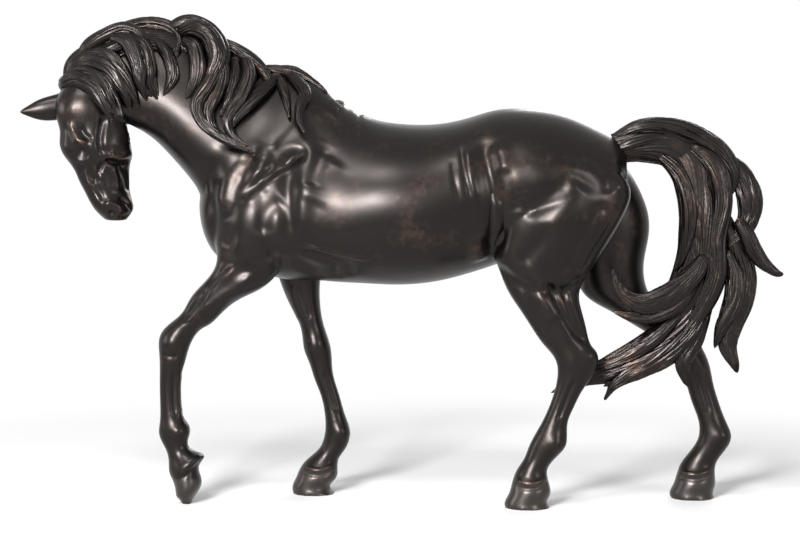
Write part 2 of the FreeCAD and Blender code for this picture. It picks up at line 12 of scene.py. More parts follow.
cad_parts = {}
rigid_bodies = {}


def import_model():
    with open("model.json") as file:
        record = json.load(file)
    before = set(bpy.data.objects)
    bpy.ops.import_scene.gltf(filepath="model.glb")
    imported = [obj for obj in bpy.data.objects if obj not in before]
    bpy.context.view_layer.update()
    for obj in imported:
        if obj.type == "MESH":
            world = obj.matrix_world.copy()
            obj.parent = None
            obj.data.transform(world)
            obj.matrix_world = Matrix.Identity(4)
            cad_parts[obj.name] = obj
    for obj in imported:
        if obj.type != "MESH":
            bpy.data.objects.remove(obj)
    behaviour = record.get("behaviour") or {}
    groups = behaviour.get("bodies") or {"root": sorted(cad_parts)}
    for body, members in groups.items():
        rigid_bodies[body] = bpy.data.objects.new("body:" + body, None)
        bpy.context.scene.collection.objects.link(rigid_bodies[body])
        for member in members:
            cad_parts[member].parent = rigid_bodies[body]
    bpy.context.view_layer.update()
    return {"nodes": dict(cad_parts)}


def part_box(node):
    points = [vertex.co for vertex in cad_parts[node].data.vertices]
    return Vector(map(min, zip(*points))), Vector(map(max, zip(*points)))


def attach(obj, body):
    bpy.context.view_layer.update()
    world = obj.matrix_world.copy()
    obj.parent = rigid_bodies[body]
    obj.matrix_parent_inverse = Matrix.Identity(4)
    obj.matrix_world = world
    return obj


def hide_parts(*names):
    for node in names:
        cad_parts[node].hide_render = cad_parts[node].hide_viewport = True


bl_info = {
    "name": "Bronze Horse Statuette",
    "version": (1, 0, 0),
    "blender": (4, 5, 0),
    "location": "View3D > Sidebar > Statuette",
    "description": "Sculpts the castings, hair and patina of a bronze horse",
    "category": "Add Mesh",
}

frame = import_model()
MM = 0.001

INNER = [name for name in frame["nodes"]
         if name.endswith(("_sleeve", "_pins", "_pin", "_dowel", "_plugs"))]
CASTINGS = ["head", "neck", "forequarter", "barrel", "hindquarter",
            "near_fore_leg", "far_fore_leg", "near_hind_leg", "far_hind_leg"]
LEGS = CASTINGS[5:]
HOOF_TOP = 20 * MM

# ---------------------------------------------------------------- settings


class StatuetteBody(bpy.types.PropertyGroup):
    """Sculpting of the castings."""
    grain: FloatProperty(
        name="Clay Grain", description="Cell size of the joined skin", default=1.35 * MM,
        min=0.8 * MM, max=4 * MM, subtype="DISTANCE", unit="LENGTH")
    soften: IntProperty(
        name="Soften", description="Smoothing passes that blend the muscles", default=14,
        min=0, max=60)
    relief: FloatProperty(
        name="Relief", description="Strength of the modelled muscles and veins", default=1.0,
        min=0, max=2, subtype="FACTOR")


class StatuetteHair(bpy.types.PropertyGroup):
    """Mane and tail."""
    strand: FloatProperty(
        name="Strand", description="Half the spacing of the modelled strands",
        default=1.25 * MM, min=0.5 * MM, max=5 * MM, subtype="DISTANCE", unit="LENGTH")
    depth: FloatProperty(
        name="Depth", description="How deep the grooves between strands are cut",
        default=1.0 * MM, min=0, max=3 * MM, subtype="DISTANCE", unit="LENGTH")
    wave: FloatProperty(
        name="Wave", description="Unevenness of the strands' spacing", default=1.0,
        min=0, max=2, subtype="FACTOR")
    seed: IntProperty(name="Seed", description="Seed of the strands' variation", default=7)


class StatuettePatina(bpy.types.PropertyGroup):
    """Colours of the waxed bronze."""
    dark: FloatVectorProperty(
        name="Recess", description="Patina in the hollows", default=(0.006, 0.0045, 0.004),
        subtype="COLOR", min=0, max=1)
    body: FloatVectorProperty(
        name="Patina", description="Main brown black", default=(0.0125, 0.0094, 0.0082),
        subtype="COLOR", min=0, max=1)
    rubbed: FloatVectorProperty(
        name="Rubbed", description="Bronze rubbed through on edges",
        default=(0.105, 0.058, 0.040), subtype="COLOR", min=0, max=1)
    hoof: FloatVectorProperty(
        name="Hoof", description="Paler grey brown of the hooves",
        default=(0.060, 0.051, 0.047), subtype="COLOR", min=0, max=1)
    roughness: FloatProperty(
        name="Roughness", description="Wax polish", default=0.33, min=0, max=1,
        subtype="FACTOR")


class StatuetteStage(bpy.types.PropertyGroup):
    """Camera and light."""
    distance: FloatProperty(
        name="Distance", description="Camera to statuette", default=1.6, subtype="DISTANCE",
        unit="LENGTH")
    azimuth: FloatProperty(
        name="Azimuth", description="Camera round the statuette", default=math.radians(4),
        subtype="ANGLE", unit="ROTATION")
    elevation: FloatProperty(
        name="Elevation", description="Camera above level", default=math.radians(4),
        subtype="ANGLE", unit="ROTATION")
    lens: FloatProperty(name="Lens", description="Focal length in millimetres", default=98.6)


# ---------------------------------------------------------------- small helpers


def new_object(name, mesh):
    """Link a finished mesh into the scene, at the origin."""
    piece = bpy.data.objects.new(name, mesh)
    bpy.context.scene.collection.objects.link(piece)
    return piece


def mesh_of(bm, name):
    """Turn a finished bmesh into a mesh, and free it."""
    mesh = bpy.data.meshes.new(name)
    bm.to_mesh(mesh)
    bm.free()
    return mesh


def bronze_piece(name, mesh, material, node=None):
    """Add a piece of the horse, and let it stand for a CAD node."""
    mesh.materials.append(material)
    piece = new_object(name, mesh)
    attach(piece, "root")
    if node:
        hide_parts(node)


def triples(items, key):
    """One vector of every item, as the rows of an array."""
    found = np.empty(len(items) * 3)
    items.foreach_get(key, found)
    return found.reshape(-1, 3)


def baked(piece):
    """The mesh of an object with its modifiers applied."""
    graph = bpy.context.evaluated_depsgraph_get()
    return bpy.data.meshes.new_from_object(piece.evaluated_get(graph))


def shade_smooth(mesh):
    """Shade the whole surface as one."""
    mesh.polygons.foreach_set("use_smooth", [True] * len(mesh.polygons))


def smoothstep(low, high, value):
    """0 below low, 1 above high, and an even curve between them."""
    ratio = np.clip((value - low) / (high - low), 0, 1)
    return ratio * ratio * (3 - 2 * ratio)


def gathered(ends, values):
    """The sum of each vertex's neighbours' values."""
    if values.ndim > 1:
        return np.stack([gathered(ends, column) for column in values.T], axis=1)
    count = len(values)
    return (np.bincount(ends[:, 0], values[ends[:, 1]], count)
            + np.bincount(ends[:, 1], values[ends[:, 0]], count))


def edge_ends(mesh):
    """The two vertices of every edge."""
    ends = np.empty(len(mesh.edges) * 2, np.int64)
    mesh.edges.foreach_get("vertices", ends)
    return ends.reshape(-1, 2)


def unit(vectors):
    """The same directions, one long."""
    return vectors / np.maximum(np.linalg.norm(vectors, axis=-1, keepdims=True), 1e-12)


# ---------------------------------------------------------------- patina


class Signal:
    """A shader value that can be used in a Python expression."""

    def __init__(self, paint, socket):
        self.paint = paint
        self.socket = socket

    def join(self, operation, first, second):
        return Signal(self.paint, self.paint.node(
            "ShaderNodeMath", {"operation": operation}, first, second).outputs[0])

    def __add__(self, other):
        return self.join("ADD", self, other)

    def __sub__(self, other):
        return self.join("SUBTRACT", self, other)

    def __rsub__(self, other):
        return self.join("SUBTRACT", other, self)

    def __mul__(self, other):
        return self.join("MULTIPLY", self, other)

    def __rmul__(self, other):
        return self.join("MULTIPLY", other, self)

    def __radd__(self, other):
        return self.join("ADD", other, self)


class Paint:
    """One material under construction."""

    def __init__(self, name):
        self.material = bpy.data.materials.new(name)
        self.material.use_nodes = True
        self.tree = self.material.node_tree
        self.shader = self.tree.nodes["Principled BSDF"]
        self.coords = self.node("ShaderNodeTexCoord", {}).outputs["Object"]

    def node(self, kind, settings, *inputs, **named):
        """A new node: its settings first, then its inputs by number or by name."""
        item = self.tree.nodes.new(kind)
        for key, value in settings.items():
            setattr(item, key, value)
        for key, value in list(enumerate(inputs)) + list(named.items()):
            self.feed(item.inputs[key], value)
        return item

    def feed(self, socket, value):
        """Link a signal or a socket, or set a plain value."""
        if isinstance(value, Signal):
            value = value.socket
        if isinstance(value, bpy.types.NodeSocket):
            self.tree.links.new(value, socket)
        else:
            socket.default_value = value

    def signal(self, socket):
        return Signal(self, socket)

    def noise(self, scale, detail=3.0):
        found = self.node("ShaderNodeTexNoise", {}, self.coords, Scale=scale, Detail=detail)
        return self.signal(found.outputs["Fac"])

    def ramp(self, value, low, high):
        found = self.node("ShaderNodeMapRange", {"interpolation_type": "SMOOTHSTEP"}, value,
                          **{"From Min": low, "From Max": high})
        return self.signal(found.outputs[0])

    def blend(self, factor, first, second):
        found = self.node("ShaderNodeMix", {"data_type": "RGBA"})
        for key, value in (("Factor_Float", factor), ("A_Color", first), ("B_Color", second)):
            self.feed(next(item for item in found.inputs if item.identifier == key), value)
        return next(item for item in found.outputs if item.identifier == "Result_Color")

    def to_shader(self, name, value):
        self.feed(self.shader.inputs[name], value)


def bronze_patina(name, hooves=False, fine=900.0):
    """Waxed brown black bronze: dark in the hollows, rubbed through on the edges."""
    look = bpy.context.scene.statuette_patina
    paint = Paint(name)
    relief = paint.signal(
        paint.node("ShaderNodeAttribute", {"attribute_name": "relief"}).outputs["Fac"])
    cloud = paint.noise(34.0)
    speck = paint.noise(240.0)
    grain = paint.noise(fine, 2.0)
    hollow = paint.ramp(0.5 - relief + (cloud - 0.5) * 0.10, 0.05, 0.40)
    edge = paint.ramp(relief + (speck - 0.5) * 0.25 + (cloud - 0.5) * 0.25, 0.66, 1.0)
    worn = paint.ramp(cloud * 0.65 + speck * 0.35, 0.52, 0.74)
    colour = paint.blend(worn * 0.30, (*look.body, 1), (*look.rubbed, 1))
    colour = paint.blend(edge * 0.55, colour, (*look.rubbed, 1))
    colour = paint.blend(hollow * 0.85, colour, (*look.dark, 1))
    if hooves:
        height = paint.node("ShaderNodeSeparateXYZ", {}, paint.coords).outputs["Z"]
        wall = 1.0 - paint.ramp(height, HOOF_TOP - 2 * MM, HOOF_TOP)
        colour = paint.blend(wall * 0.6, colour, (*look.hoof, 1))
    paint.to_shader("Base Color", colour)
    paint.to_shader("Metallic", 0.90)
    paint.to_shader(
        "Roughness", look.roughness + (cloud - 0.5) * 0.14 + (speck - 0.5) * 0.08 + hollow * 0.2)
    paint.to_shader("Coat Weight", 0.20)
    paint.to_shader("Coat Roughness", 0.30)
    bump = paint.node("ShaderNodeBump", {}, Strength=0.12, Distance=0.0004,
                      Height=speck * 0.6 + grain * 0.4)
    paint.to_shader("Normal", bump.outputs[0])
    return paint.material


def keep_relief(mesh, gain=1.0, rounds=3):
    """Store how far each vertex stands out of its surroundings, as 0 to 1 around 0.5."""
    place = triples(mesh.vertices, "co")
    normal = triples(mesh.vertex_normals, "vector")
    ends = edge_ends(mesh)
    degree = np.maximum(np.bincount(ends.ravel(), minlength=len(place)), 1.0)

    def around(values):
        return gathered(ends, values) / (degree[:, None] if values.ndim > 1 else degree)

    middle = place
    for _ in range(rounds):
        middle = around(middle)
    stand = np.einsum("ij,ij->i", place - middle, normal)
    stand = around(stand)
    wide = stand
    for _ in range(rounds * 6):
        wide = around(wide)
    stand = stand - wide
    level = np.clip(0.5 + stand / MM * gain, 0, 1)
    layer = mesh.attributes.new("relief", "FLOAT", "POINT")
    layer.data.foreach_set("value", level.astype(np.float32))


# ---------------------------------------------------------------- strokes on the clay
# A stroke is a line or a single spot in side view, x and z in millimetres. Its width is how
# far it spreads and its height how far it lifts; a negative height cuts a groove.

BODY_STROKES = [
    # neck and breast
    ([(-118, 262), (-121, 240), (-125, 212)], 9.45, 1.73),
    ([(-134, 254), (-135, 232), (-132, 210), (-126, 190)], 6.75, -1.73),
    ([(-96, 264), (-106, 244), (-114, 228), (-120, 206)], 6.08, -2.16),
    ([(-90, 250), (-102, 234), (-110, 218)], 6.75, 1.44),
    # shoulder blade
    ([(-60, 276), (-80, 264), (-98, 252), (-109, 234)], 10.8, 2.3),
    ([(-62, 258), (-80, 247), (-97, 235), (-115, 218)], 4.05, -2.59),
    ([(-66, 251), (-82, 240), (-98, 228)], 6.08, 1.44),
    ([(-77, 228)], 16.2, 1.73),
    ([(-99, 207)], 20.2, 3.02),
    ([(-85, 192)], 17.6, 2.3),
    ([(-78, 222), (-90, 214), (-94, 196)], 6.08, -1.73),
    ([(-122, 214), (-120, 200), (-124, 186)], 6.75, -1.44),
    # behind the shoulder
    ([(-58, 268), (-62, 244), (-66, 220), (-68, 190)], 8.1, 2.02),
    ([(-72, 262), (-76, 240), (-75, 215), (-73, 190)], 6.75, -2.45),
    ([(-42, 252), (-52, 236), (-60, 218)], 10.8, 1.44),
    ([(-50, 262), (-57, 244), (-61, 230)], 6.75, -1.58),
    ([(-128, 184), (-112, 173), (-94, 174), (-76, 186)], 6.08, -2.88),
    ([(-120, 190), (-104, 182), (-88, 184)], 10.8, 2.02),
    # belly vein and breast muscle
    ([(-74, 192), (-54, 186), (-36, 183), (-16, 181)], 1.8, 1.6),
    ([(-69, 188), (-54, 182), (-30, 179)], 2.4, -1.3),
    ([(-72, 204), (-48, 179), (-26, 172)], 6, -2.2),
    ([(-78, 184), (-58, 172), (-36, 168)], 5, -2.2),
    # barrel
    ([(-16, 228)], 40, 4.0),
    # flank
    ([(46, 262), (49, 242), (54, 222)], 2.0, -0.8),
    ([(40, 252), (42, 236), (46, 220)], 1.8, -0.5),
    ([(50, 260), (53, 240), (58, 222)], 2.4, 0.7),
    ([(60, 268), (67, 244), (71, 220), (71, 199), (67, 178)], 7, -4.6),
    ([(58, 200), (58, 188), (62, 178)], 6, 2.0),
    # haunch
    ([(68, 262), (76, 240), (82, 222)], 8.75, 2.56),
    ([(76, 246), (82, 228), (88, 212)], 5.62, -2.08),
    ([(88, 214), (104, 224), (124, 238)], 6.25, -1.92),
    ([(80, 250)], 28, 3.4),
    ([(112, 240)], 22, 2.0),
    ([(134, 236), (120, 216), (102, 194)], 10, 2.4),
    ([(152, 222), (143, 204), (132, 184), (124, 164)], 8.12, -2.72),
    ([(150, 250), (157, 240), (159, 226)], 6.25, 1.92),
    ([(144, 248), (150, 238), (151, 226)], 5, -1.44),
    ([(112, 206), (100, 190), (88, 178)], 5.62, -1.76),
    ([(80, 182)], 10, 2.72),
    ([(96, 176)], 12.5, 1.76),
    ([(68, 178), (80, 168), (94, 160), (122, 158), (138, 172)], 5, -2.88),
    ([(78, 178), (94, 168), (118, 167), (130, 178)], 7.5, 1.6),
]


def coronet(front, middle, back, front_height):
    """The ridge above a standing hoof, and the groove under it."""
    return [([(front, front_height), (middle, 19), (back, 23)], 1.8, 1.5),
            ([(front, front_height - 4), (middle, 15.5), (back, 19)], 1.2, -1.0)]


LEG_STROKES = {
    "near_fore_leg": [
        ([(-119, 177), (-132, 163), (-145, 147), (-157, 131)], 2.6, -2.2),
        ([(-97, 172), (-116, 157), (-136, 145), (-152, 134)], 4.0, 1.5),
        ([(-110, 178), (-126, 166), (-140, 152)], 4.0, 1.6),
        ([(-163, 118)], 7, 1.8),
        ([(-170, 110), (-158, 108)], 2.2, -1.4),
        ([(-162, 100), (-162.5, 80), (-161, 62)], 1.6, -1.5),
        ([(-158.5, 98), (-159, 80), (-158, 62)], 1.8, 1.0),
        ([(-158, 53)], 5, 1.6),
        ([(-142, 39), (-151, 30), (-161, 22)], 2.2, 0.5),
        ([(-139, 36), (-148, 26.5), (-158, 18)], 1.1, -0.9),
    ],
    "far_fore_leg": [
        ([(-76, 160), (-72, 145), (-67, 130)], 2.4, -1.6),
        ([(-82, 158), (-78, 142), (-73, 128)], 4.0, 1.2),
        ([(-64, 112)], 7, 1.6),
        ([(-58, 95), (-52, 75), (-48, 60)], 1.6, -1.3),
        ([(-44, 47)], 5, 1.5),
        *coronet(-76, -62, -50, 22),
    ],
    "near_hind_leg": [
        ([(106, 168), (114, 151), (124, 133), (133, 119)], 2.4, -2.4),
        ([(98, 166), (105, 150), (115, 134)], 5, 1.8),
        ([(119, 162), (122, 148), (130, 130), (137, 116)], 2.2, -2.2),
        ([(90, 160), (98, 140), (111, 121)], 2.6, -1.2),
        ([(139, 111)], 5, 2.0),
        ([(124, 106)], 6, 1.2),
        ([(128, 96), (121, 78), (115, 62)], 1.6, -1.5),
        ([(115, 47)], 6, 1.8),
        *coronet(84, 97, 110, 21),
    ],
    "far_hind_leg": [
        ([(160, 152), (177, 139), (196, 124), (206, 114)], 2.4, -2.0),
        ([(178, 150), (192, 136), (208, 122)], 2.4, -2.0),
        ([(216, 114)], 5, 2.0),
        ([(216, 98), (222, 80), (227, 62)], 1.6, -1.4),
        ([(237, 47)], 6, 1.6),
        *coronet(203, 217, 230, 21),
    ],
}

HEAD_STROKES = [
    ([(-201, 268)], 11, 1.6),
    ([(-211, 284), (-214, 266), (-212, 252)], 2.4, -2.2),
    ([(-212, 250), (-201, 247.5), (-190, 251)], 1.7, -3.4),
    ([(-210, 254.5), (-201, 252.5), (-192, 256)], 2.6, 1.7),
    ([(-237, 279), (-233, 270), (-229, 264), (-222, 262)], 2.2, 1.8),
    ([(-227, 256.5)], 4.2, -3.0),
    ([(-233, 251), (-227, 249), (-220, 252)], 1.6, 1.1),
    ([(-229, 275), (-225, 268), (-219, 264)], 2.0, -1.6),
    ([(-222, 251), (-218, 244), (-214, 235)], 1.7, 1.4),
    ([(-211, 250), (-216, 242), (-219, 233)], 1.8, -1.7),
    ([(-202, 248), (-198, 236), (-196, 226)], 1.7, -2.2),
    ([(-207, 246), (-204, 236), (-203, 227)], 2.2, 1.0),
    ([(-228, 246), (-221, 230), (-214, 218)], 2.0, 1.0),
    ([(-224, 243), (-217, 229), (-211, 219)], 1.8, -1.0),
    ([(-213, 216), (-208, 219), (-202, 216), (-200, 211)], 1.5, 1.3),
    ([(-207, 211.5)], 1.9, -3.0),
    ([(-203, 223), (-197, 219), (-193, 212)], 1.3, -1.7),
    ([(-204, 208), (-199, 208.5), (-194, 211)], 1.2, -1.2),
    ([(-194, 219)], 3.0, 1.0),
]
HEAD_TURN = math.radians(30)
HEAD_TOP = (-222.0, -13.0, 290.0)


def reach_of_line(points, spots):
    """Distance from each (x, z) spot to a smooth line, and how strong the line is there."""
    line = np.array(points, float)
    if len(line) > 2:
        line = flow(line, 6 * (len(line) - 1))
    best = np.full(len(spots), 1e9)
    place = np.zeros(len(spots))
    for index, (start, end) in enumerate(zip(line[:-1], line[1:])):
        run = end - start
        along = np.clip((spots - start) @ run / max(run @ run, 1e-9), 0, 1)
        gap = np.linalg.norm(spots - start - along[:, None] * run, axis=1)
        nearer = gap < best
        best = np.where(nearer, gap, best)
        place = np.where(nearer, (index + along) / (len(line) - 1), place)
    return best, smoothstep(0, 0.2, place) * smoothstep(0, 0.2, 1 - place)


def flow(points, count):
    """Catmull-Rom points through given ones."""
    points = np.asarray(points, float)
    padded = np.vstack([2 * points[0] - points[1], points, 2 * points[-1] - points[-2]])
    found = []
    for value in np.linspace(0, len(points) - 1, count):
        index = min(int(value), len(points) - 2)
        step = value - index
        before, start, end, after = padded[index:index + 4]
        found.append(0.5 * (2 * start + (end - before) * step
                            + (2 * before - 5 * start + 4 * end - after) * step ** 2
                            + (3 * start - before - 3 * end + after) * step ** 3))
    return np.array(found)


class Clay:
    """A mesh held as arrays, so that strokes can lift or cut its surface."""

    def __init__(self, mesh):
        self.mesh = mesh
        self.read()

    def read(self):
        self.place = triples(self.mesh.vertices, "co")
        self.normal = triples(self.mesh.vertex_normals, "vector")

    def write(self):
        self.mesh.vertices.foreach_set("co", self.place.ravel())
        self.mesh.update()

    def lift(self, strokes, spots, facing, mask, strength):
        """Apply strokes to spots in side view, where the surface faces the side."""
        total = np.zeros(len(spots))
        sharp = facing * mask
        chosen = np.nonzero(sharp > 0.01)[0]
        for points, width, height in strokes:
            if len(points) > 1:
                near, full = reach_of_line(points, spots[chosen])
            else:
                near, full = np.linalg.norm(spots[chosen] - np.array(points[0]), axis=1), 1
            total[chosen] += height * full * np.exp(-(near / width) ** 2)
        self.place += self.normal * (total * sharp * strength * MM)[:, None]


def side_mask(clay, sign):
    """1 where the surface faces one side of the horse."""
    return smoothstep(0.0, 0.45, clay.normal[:, 1] * sign)


# ---------------------------------------------------------------- the castings


# Balls of core clay (x, y, z, radius, mm) that keep the joined skin shut at the shoulders.
CORE = [(-96, -19, 250, 19), (-106, -19, 249, 19), (-114, -18, 250, 18), (-90, -19, 256, 17),
        (-96, 19, 250, 19), (-106, 19, 249, 19), (-114, 18, 250, 18), (-90, 19, 256, 17),
        (-108, 0, 262, 24)]


def joined_skin(grain):
    """One closed skin over all the castings, with the hollow inside taken away."""
    bm = bmesh.new()
    for x, y, z, radius in CORE:
        bmesh.ops.create_icosphere(bm, subdivisions=3, radius=radius * MM,
                                   matrix=Matrix.Translation(Vector((x, y, z)) * MM))
    for name in CASTINGS + INNER:
        copy = frame["nodes"][name].data.copy()
        bm.from_mesh(copy)
        bpy.data.meshes.remove(copy)
    bmesh.ops.remove_doubles(bm, verts=bm.verts, dist=1e-6)
    lump = new_object("clay", mesh_of(bm, "clay"))
    remesh = lump.modifiers.new("Skin", "REMESH")
    remesh.mode = "VOXEL"
    remesh.voxel_size = grain
    skin = baked(lump)
    bpy.data.objects.remove(lump)
    return outer_island(skin)


def outer_island(mesh):
    """Keep the loose part that spans the most, and drop the rest."""
    bm = bmesh.new()
    bm.from_mesh(mesh)
    bm.verts.ensure_lookup_table()
    left = set(bm.verts)
    best = []
    while left:
        island = [left.pop()]
        stack = island[:]
        while stack:
            vert = stack.pop()
            for edge in vert.link_edges:
                other = edge.other_vert(vert)
                if other in left:
                    left.discard(other)
                    island.append(other)
                    stack.append(other)
        if len(island) > len(best):
            best = island
    kept = set(best)
    bmesh.ops.delete(bm, geom=[v for v in bm.verts if v not in kept], context="VERTS")
    bm.to_mesh(mesh)
    bm.free()
    return mesh


def soften(mesh, rounds):
    """Blend the creases, without shrinking, by alternate inward and outward passes."""
    clay = Clay(mesh)
    ends = edge_ends(mesh)
    degree = np.bincount(ends.ravel(), minlength=len(clay.place))[:, None]
    above_sole = smoothstep(10 * MM, 30 * MM, clay.place[:, 2])[:, None]
    for pull in (0.62, -0.60) * rounds:
        total = gathered(ends, clay.place)
        clay.place += (total / degree - clay.place) * pull * above_sole
    clay.write()


def leg_mask(clay, name):
    """1 on one leg and just past its ends, 0 elsewhere."""
    low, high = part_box(name)
    low, high = np.array(low), np.array(high)
    x, y, z = clay.place.T
    same_side = np.sign(low[1] + high[1]) * y > 0
    inside = (x > low[0] - 12 * MM) & (x < high[0] + 30 * MM) & (z < high[2] + 20 * MM)
    return (inside & same_side).astype(float)


# The crest of the shoulders in side view, and how far below it the skin follows (mm).
WITHERS = [(-92, 312), (-80, 311), (-72, 309.5), (-65, 307.5), (-58, 304), (-51, 298.5),
           (-44, 292.5), (-36, 287.5), (-28, 283.5)]
WITHERS_DEPTH = 34


def settle_withers(clay):
    """Draw the crest of the shoulders down to one smooth line."""
    line = np.array(WITHERS, float) * MM
    x, z = clay.place[:, 0], clay.place[:, 2]
    bins = np.arange(line[0, 0], line[-1, 0], 2 * MM)
    tops = [z[np.abs(x - middle) < 2 * MM].max() for middle in bins]
    top = np.interp(x, bins, tops)
    drop = np.interp(x, line[:, 0], line[:, 1]) - top
    inside = (x > line[0, 0]) & (x < line[-1, 0])
    clay.place[:, 2] += drop * inside * smoothstep(top - WITHERS_DEPTH * MM, top, z)


def cover_inner(clay, lowest=200 * MM, margin=1.2 * MM, reach=14 * MM):
    """Raise the skin wherever an inner sleeve or pin of the trunk has come to the surface."""
    bm = bmesh.new()
    for name in INNER:
        bm.from_mesh(bpy.data.objects[name].data)
    tree = BVHTree.FromBMesh(bm)
    bm.free()
    for index in np.nonzero(clay.place[:, 2] > lowest)[0]:
        out = Vector(clay.normal[index])
        spot = Vector(clay.place[index])
        hit, _, _, far = tree.ray_cast(spot + out * reach, -out, reach + margin)
        if hit is not None and far > 2 * MM:
            clay.place[index] = hit + out * margin


def sculpt_body(mesh, relief):
    """Press the muscles, veins and folds into the joined skin."""
    clay = Clay(mesh)
    settle_withers(clay)
    clay.write()
    clay.read()
    cover_inner(clay)
    clay.write()
    soften(mesh, 3)
    clay = Clay(mesh)
    view = clay.place[:, [0, 2]] / MM
    body = smoothstep(140, 152, view[:, 1]) * smoothstep(-188, -172, view[:, 0])
    for sign in (-1, 1):
        clay.lift(BODY_STROKES, view, side_mask(clay, sign), body, relief)
    clay.write()
    clay.read()
    for name, strokes in LEG_STROKES.items():
        mask = leg_mask(clay, name)
        for sign in (-1, 1):
            clay.lift(strokes, view, side_mask(clay, sign), mask, relief)
    clay.write()


def head_frame():
    """A point on the head's middle plane, the way the nose points and the way to its left."""
    top = np.array(HEAD_TOP) * MM
    nose = np.array([-math.cos(HEAD_TURN), -math.sin(HEAD_TURN), 0])
    left = np.array([math.sin(HEAD_TURN), -math.cos(HEAD_TURN), 0])
    return top, nose, left


def sculpt_head(mesh, relief):
    """Model both cheeks alike: strokes are laid on the left side and mirrored."""
    clay = Clay(mesh)
    top, _, left = head_frame()
    side = (clay.place - top) @ left
    folded = clay.place - np.where(side < 0, side, 0)[:, None] * left * 2
    facing = clay.normal - np.where(side < 0, clay.normal @ left, 0)[:, None] * left * 2
    view = folded[:, [0, 2]] / MM
    mask = smoothstep(-186, -192, view[:, 0]) * smoothstep(295, 285, view[:, 1])
    clay.lift(HEAD_STROKES, view, smoothstep(-0.05, 0.35, -facing[:, 1]), mask, relief)
    clay.write()


# The neck and head begin above, and the legs end below, these heights (mm).
NECK_LOWEST = 200
HEAD_LOWEST = 195
LEG_HIGHEST = 192
# Each joint: a point on it, the way it faces, and the box (x, y and z, mm) it stays within.
JOINTS = {
    "front": ((-47, 0, 220), (1, 0, 0), ((-60, -30), (-90, 90), (120, 330))),
    "rear": ((58, 0, 225), (1, 0, 0), ((45, 70), (-90, 90), (120, 330))),
    "near_fore_leg": ((-126, -24, 156), (-27, 0, -25), ((-175, -85), (-70, -1), (110, 192))),
    "far_fore_leg": ((-75, 24, 152), (5, 0, -27), ((-105, -45), (1, 70), (135, 165))),
    "near_hind_leg": ((105, -24, 156), (4, 0, -31), ((60, 150), (-70, -1), (140, 172))),
    "far_hind_leg": ((159, 24, 150), (24, 0, -34), ((110, 205), (1, 70), (110, 185))),
    "neck": ((-125, -1, 275), (-37, -3, 26), ((-170, -70), (-90, 90), (200, 350))),
    "head": ((-206, -11, 306), (-33, -5, -7), ((-225, -180), (-60, 60), (225, 352))),
}


def past_joint(name, spots):
    """How far points (mm) lie past a joint, on the side that the joint faces."""
    point, facing, _ = JOINTS[name]
    return (spots - point) @ unit(np.array(facing, float))


def face_centres(mesh):
    """The middle of every face, in millimetres."""
    return triples(mesh.polygons, "center") / MM


def casting_of(spots):
    """The casting that each point of the skin (mm) belongs to, by its place in CASTINGS."""
    x, y, z = spots.T
    front, neck, head, rear = (past_joint(name, spots) for name in
                               ("front", "neck", "head", "rear"))
    owner = np.full(len(spots), CASTINGS.index("barrel"))
    owner[front < 0] = CASTINGS.index("forequarter")
    owner[rear > 0] = CASTINGS.index("hindquarter")
    owner[(z > NECK_LOWEST) & (neck > 0)] = CASTINGS.index("neck")
    owner[(z > HEAD_LOWEST) & (head > 0)] = CASTINGS.index("head")
    for name in LEGS:
        near_side = (y < 0) == (JOINTS[name][0][1] < 0)
        same_end = (x < 0) == (JOINTS[name][0][0] < 0)
        past = (z < LEG_HIGHEST) & (past_joint(name, spots) > 0)
        owner[near_side & same_end & past] = CASTINGS.index(name)
    return owner


def score_joints(mesh):
    """Cut an edge loop round the skin at every joint."""
    centres = face_centres(mesh)
    bm = bmesh.new()
    bm.from_mesh(mesh)
    bm.faces.ensure_lookup_table()
    chosen = {}
    for name, (_, _, limits) in JOINTS.items():
        low, high = np.array(limits, float).T
        inside = np.all((centres > low) & (centres < high), axis=1)
        close = np.abs(past_joint(name, centres)) < 6
        chosen[name] = [bm.faces[index] for index in np.nonzero(inside & close)[0]]
    for name, faces in chosen.items():
        edges = {edge for face in faces for edge in face.edges}
        verts = {vert for face in faces for vert in face.verts}
        point, facing, _ = JOINTS[name]
        bmesh.ops.bisect_plane(bm, geom=[*verts, *edges, *faces], dist=1e-7,
                               plane_co=Vector(point) * MM, plane_no=Vector(facing))
    bm.to_mesh(mesh)
    bm.free()


class STATUETTE_OT_castings(bpy.types.Operator):
    """Sculpt the body and part it into its castings"""
    bl_idname = "statuette.castings"
    bl_label = "Castings"

    def execute(self, context):
        look = context.scene.statuette_body
        mesh = joined_skin(look.grain)
        soften(mesh, look.soften)
        sculpt_body(mesh, look.relief)
        sculpt_head(mesh, look.relief)
        shade_smooth(mesh)
        keep_relief(mesh, 1.1)
        part_castings(mesh)
        return {"FINISHED"}


def part_castings(mesh):
    """Give every casting its own closed piece, shaded as one surface with its neighbours."""
    normals = triples(mesh.vertex_normals, "vector")
    layer = mesh.attributes.new("skin_normal", "FLOAT_VECTOR", "POINT")
    layer.data.foreach_set("vector", normals.ravel().astype(np.float32))
    score_joints(mesh)
    owners = casting_of(face_centres(mesh))
    plain = bronze_patina("bronze_patina")
    hoofed = bronze_patina("bronze_leg_patina", hooves=True)
    for number, name in enumerate(CASTINGS):
        bm = bmesh.new()
        bm.from_mesh(mesh)
        others = [face for face, owner in zip(bm.faces, owners) if owner != number]
        bmesh.ops.delete(bm, geom=others, context="FACES")
        rim = [edge for edge in bm.edges if edge.is_boundary]
        bmesh.ops.holes_fill(bm, edges=rim, sides=0)
        part = mesh_of(bm, name + "_skin")
        shade_smooth(part)
        kept = triples(part.attributes["skin_normal"].data, "vector")
        part.normals_split_custom_set_from_vertices(kept.tolist())
        bronze_piece(name + "_skin", part, hoofed if name in LEGS else plain, name)


